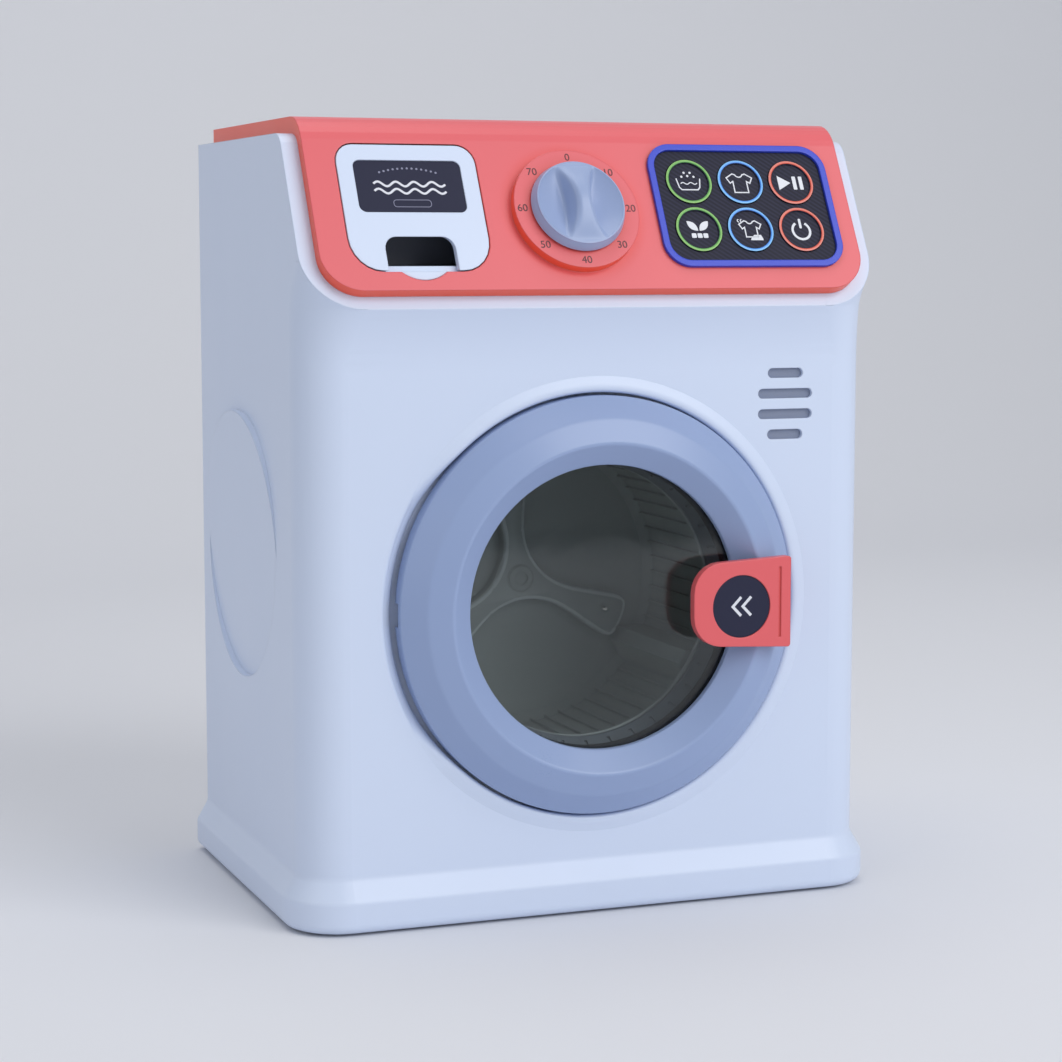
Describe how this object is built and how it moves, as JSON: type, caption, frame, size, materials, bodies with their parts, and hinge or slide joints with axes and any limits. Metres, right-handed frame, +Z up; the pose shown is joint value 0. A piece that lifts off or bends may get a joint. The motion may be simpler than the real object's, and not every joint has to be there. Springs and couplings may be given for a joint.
{
  "type": "toy washing machine",
  "caption": "Toy front-loading washing machine with a leaning control panel, hinged porthole door with a pull latch, turning drum, pull-out drawer, dial and push buttons.",
  "frame": {"origin": "on the floor under the middle of the whole machine, handle to rear cover and side to side", "axes": "+X to the right as seen from the front, +Y from the door back to the rear cover, +Z up"},
  "size_m": [0.208, 0.1502, 0.2615],
  "materials": {
    "white_plastic": "gloss",
    "cover_plastic": "satin",
    "coral_plastic": "gloss",
    "orange_plastic": "gloss",
    "navy_label": "gloss",
    "drawer_blue": "satin",
    "knob_blue": "gloss",
    "bezel_blue": "gloss",
    "panel_dark": "gloss",
    "button_green": "gloss",
    "button_blue": "gloss",
    "button_red": "gloss",
    "pad_rubber": "matte",
    "board_green": "satin",
    "dark_plastic": "satin",
    "grey_plastic": "satin",
    "seal_rubber": "matte",
    "foot_rubber": "matte",
    "window_clear": "clear",
    "steel": "satin",
    "brass": "satin",
    "drum_grey": "satin",
    "gear_plastic": "satin",
    "pin_red": "gloss",
    "cell_green": "gloss"
  },
  "bodies": {
    "cabinet": {"cabinet_shell": "white_plastic", "rear_cover": "cover_plastic", "base_plate": "cover_plastic", "feet": "foot_rubber", "top_fascia": "coral_plastic", "drawer_chute": "white_plastic", "knob_click_spring": "steel", "touch_bezel": "bezel_blue", "touch_plate": "panel_dark", "button_pad": "pad_rubber", "control_board": "board_green", "speaker": "dark_plastic", "hinge_bracket": "grey_plastic", "interlock_spring": "steel", "interlock_cap": "cover_plastic", "mouth_ring": "white_plastic", "tub": "dark_plastic", "drum_bush": "brass", "reduction_axle": "steel", "gear_cover": "grey_plastic", "motor": "steel", "battery_contacts": "steel", "battery_cells": "cell_green", "battery_door": "cover_plastic", "rear_screws": "steel", "base_screws": "steel", "inner_screws": "steel", "panel_screws": "steel"},
    "drawer": {"drawer_front": "white_plastic", "drawer_box": "drawer_blue", "drawer_label": "navy_label"},
    "knob": {"knob": "knob_blue", "knob_click_wheel": "grey_plastic"},
    "button_basin": {"button_basin": "button_green"},
    "button_shirt": {"button_shirt": "button_blue"},
    "button_play": {"button_play": "button_red"},
    "button_leaf": {"button_leaf": "button_green"},
    "button_iron": {"button_iron": "button_blue"},
    "button_power": {"button_power": "button_red"},
    "door": {"door_ring": "white_plastic", "door_back": "grey_plastic", "door_window": "window_clear", "door_seal": "seal_rubber", "hinge_pin": "steel", "latch_pin": "steel", "door_screws": "steel"},
    "latch": {"latch_handle": "orange_plastic", "latch_badge": "navy_label", "latch_spring": "steel"},
    "interlock": {"interlock_pin": "pin_red"},
    "drum": {"drum": "drum_grey", "drum_shaft": "steel", "drum_gear": "gear_plastic"},
    "reduction": {"reduction_gear": "gear_plastic"},
    "pinion": {"motor_pinion": "brass"}
  },
  "joints": [
    {"name": "drawer_slide", "type": "slide", "parent": "cabinet", "child": "drawer", "axis": [0, -1, 0], "range_m": [0, 0.04]},
    {"name": "knob_turn", "type": "hinge", "parent": "cabinet", "child": "knob", "pos_m": [-0.0065, -0.04908, 0.22883], "axis": [0, -0.8796, 0.4756], "continuous": true},
    {"name": "button_basin_press", "type": "slide", "parent": "cabinet", "child": "button_basin", "axis": [0, 0.8796, -0.4756], "range_m": [0, 0.0008], "stiffness_N_per_m": 400},
    {"name": "button_shirt_press", "type": "slide", "parent": "cabinet", "child": "button_shirt", "axis": [0, 0.8796, -0.4756], "range_m": [0, 0.0008], "stiffness_N_per_m": 400},
    {"name": "button_play_press", "type": "slide", "parent": "cabinet", "child": "button_play", "axis": [0, 0.8796, -0.4756], "range_m": [0, 0.0008], "stiffness_N_per_m": 400},
    {"name": "button_leaf_press", "type": "slide", "parent": "cabinet", "child": "button_leaf", "axis": [0, 0.8796, -0.4756], "range_m": [0, 0.0008], "stiffness_N_per_m": 400},
    {"name": "button_iron_press", "type": "slide", "parent": "cabinet", "child": "button_iron", "axis": [0, 0.8796, -0.4756], "range_m": [0, 0.0008], "stiffness_N_per_m": 400},
    {"name": "button_power_press", "type": "slide", "parent": "cabinet", "child": "button_power", "axis": [0, 0.8796, -0.4756], "range_m": [0, 0.0008], "stiffness_N_per_m": 400},
    {"name": "door_hinge", "type": "hinge", "parent": "cabinet", "child": "door", "pos_m": [-0.0652, -0.0581, 0.1028], "axis": [0, 0, -1], "range_deg": [0, 96]},
    {"name": "latch_pull", "type": "hinge", "parent": "door", "child": "latch", "pos_m": [0.0585, -0.0669, 0.1028], "axis": [0, 0, 1], "range_deg": [0, 8], "stiffness_Nm_per_rad": 0.05},
    {"name": "interlock_press", "type": "slide", "parent": "cabinet", "child": "interlock", "axis": [0, 1, 0], "range_m": [0, 0.0015], "stiffness_N_per_m": 100},
    {"name": "drum_spin", "type": "hinge", "parent": "cabinet", "child": "drum", "pos_m": [0, 0.0211, 0.1028], "axis": [0, 1, 0], "continuous": true},
    {"name": "reduction_spin", "type": "hinge", "parent": "cabinet", "child": "reduction", "pos_m": [0.01405, 0.0311, 0.07846], "axis": [0, 1, 0], "continuous": true},
    {"name": "pinion_spin", "type": "hinge", "parent": "cabinet", "child": "pinion", "pos_m": [0.03475, 0.0361, 0.07556], "axis": [0, 1, 0], "continuous": true}
  ],
  "couplings": [
    {"joint": "reduction_spin", "follows": "drum_spin", "ratio": -4},
    {"joint": "pinion_spin", "follows": "drum_spin", "ratio": 13.333}
  ]
}
